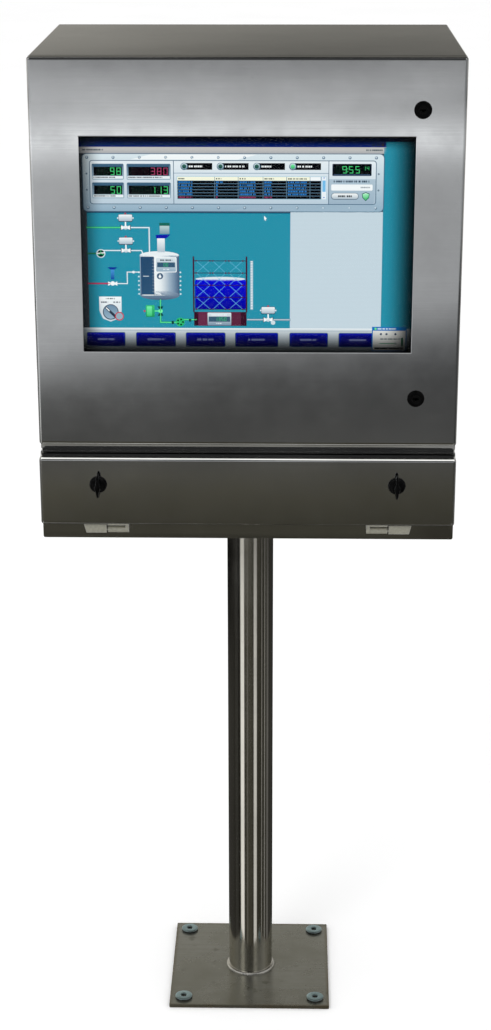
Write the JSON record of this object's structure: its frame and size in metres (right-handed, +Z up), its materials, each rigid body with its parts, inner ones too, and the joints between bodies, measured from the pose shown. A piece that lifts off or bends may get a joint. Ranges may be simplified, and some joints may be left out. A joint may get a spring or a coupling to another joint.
{
  "type": "hmi touch panel",
  "caption": "Stainless pedestal operator station: touch display in a hinged enclosure door over a fold-down keyboard compartment, on a tube with a square base plate.",
  "frame": {"origin": "centre of the base plate's underside, on the pedestal tube's axis", "axes": "+Z up along the tube, +X to the operator's right, -Y towards the operator"},
  "size_m": [0.61, 0.4802, 1.557],
  "materials": {
    "brushed_stainless": "fine brushed stainless sheet",
    "polished_stainless": "polished stainless tube and hinge castings",
    "mill_steel_plate": "dull stained plate",
    "zinc_washer": "pale zinc plating",
    "black_rubber": "soft matte black",
    "steel_fastener": "bright machined",
    "galvanised_panel": "zinc-coated sheet",
    "computer_alloy": "anodised, finned",
    "grey_plastic": "moulded",
    "terminal_plastic": "moulded",
    "black_plastic": "moulded, slightly satin",
    "latch_zinc": "black-finished die casting",
    "earth_brass": "machined",
    "touch_glass": "clear touch glass",
    "lcd_panel": "lit display",
    "circuit_board": "solder resist",
    "keyboard_skin": "sealed moulded skin"
  },
  "bodies": {
    "stand": {"base_plate": "mill_steel_plate", "anchor_seals": "black_rubber", "anchor_washers": "zinc_washer", "tube_welds": "polished_stainless", "pedestal_tube": "polished_stainless", "top_flange": "mill_steel_plate", "flange_gasket": "black_rubber", "flange_bolts": "steel_fastener", "flange_nuts": "steel_fastener", "floor_doubler": "mill_steel_plate", "keyboard_housing": "brushed_stainless", "enclosure_body": "brushed_stainless", "joint_bolts": "steel_fastener", "joint_nuts": "steel_fastener", "cable_grommet": "black_rubber", "mounting_plate": "galvanised_panel", "mounting_studs": "steel_fastener", "mounting_nuts": "steel_fastener", "industrial_computer": "computer_alloy", "din_rail": "steel_fastener", "power_supply": "grey_plastic", "terminal_blocks": "terminal_plastic", "cable_gland": "black_plastic", "gland_locknut": "black_plastic", "earth_stud": "earth_brass", "drain_breather": "black_plastic", "door_hinge_arms": "polished_stainless", "door_hinge_pins": "polished_stainless", "housing_hinge_leaves": "polished_stainless", "housing_hinge_pins": "polished_stainless", "tray_outer_rails": "galvanised_panel"},
    "display_door": {"display_door_panel": "brushed_stainless", "door_gasket": "black_rubber", "glass_seal": "black_rubber", "touch_glass": "touch_glass", "lcd_module": "lcd_panel", "retaining_frame": "galvanised_panel", "frame_nuts": "steel_fastener", "display_controller": "circuit_board", "display_cover": "galvanised_panel", "door_hinge_blocks": "polished_stainless", "key_latch_housings": "black_plastic", "key_latch_nuts": "steel_fastener"},
    "upper_latch": {"upper_latch_insert": "latch_zinc", "upper_latch_cam": "steel_fastener"},
    "lower_latch": {"lower_latch_insert": "latch_zinc", "lower_latch_cam": "steel_fastener"},
    "keyboard_door": {"keyboard_door_panel": "brushed_stainless", "keyboard_door_gasket": "black_rubber", "keyboard_door_hinges": "polished_stainless", "wing_latch_housings": "black_plastic", "wing_latch_nuts": "steel_fastener"},
    "left_wing_latch": {"left_wing_knob": "black_plastic", "left_wing_cam": "steel_fastener"},
    "right_wing_latch": {"right_wing_knob": "black_plastic", "right_wing_cam": "steel_fastener"},
    "keyboard_tray": {"tray_inner_rails": "galvanised_panel", "tray_pan": "galvanised_panel", "keyboard": "keyboard_skin"}
  },
  "joints": [
    {"name": "display_door_swing", "type": "hinge", "parent": "stand", "child": "display_door", "pos_m": [-0.3, -0.2, 1.2775], "axis": [0, 0, -1], "range_deg": [0, 110]},
    {"name": "upper_latch_turn", "type": "hinge", "parent": "display_door", "child": "upper_latch", "pos_m": [0.244, -0.2, 1.485], "axis": [0, 1, 0], "range_deg": [0, 90]},
    {"name": "lower_latch_turn", "type": "hinge", "parent": "display_door", "child": "lower_latch", "pos_m": [0.244, -0.2, 1.07], "axis": [0, -1, 0], "range_deg": [0, 90]},
    {"name": "keyboard_door_fold", "type": "hinge", "parent": "stand", "child": "keyboard_door", "pos_m": [0, -0.206, 0.866], "axis": [1, 0, 0], "range_deg": [0, 90]},
    {"name": "left_wing_turn", "type": "hinge", "parent": "keyboard_door", "child": "left_wing_latch", "pos_m": [-0.219, -0.21, 0.94], "axis": [0, -1, 0], "range_deg": [0, 90]},
    {"name": "right_wing_turn", "type": "hinge", "parent": "keyboard_door", "child": "right_wing_latch", "pos_m": [0.219, -0.21, 0.94], "axis": [0, 1, 0], "range_deg": [0, 90]},
    {"name": "tray_slide", "type": "slide", "parent": "stand", "child": "keyboard_tray", "axis": [0, -1, 0], "range_m": [0, 0.173]}
  ],
  "couplings": [
    {"joint": "tray_slide", "follows": "keyboard_door_fold", "m_per_rad": 0.11}
  ]
}
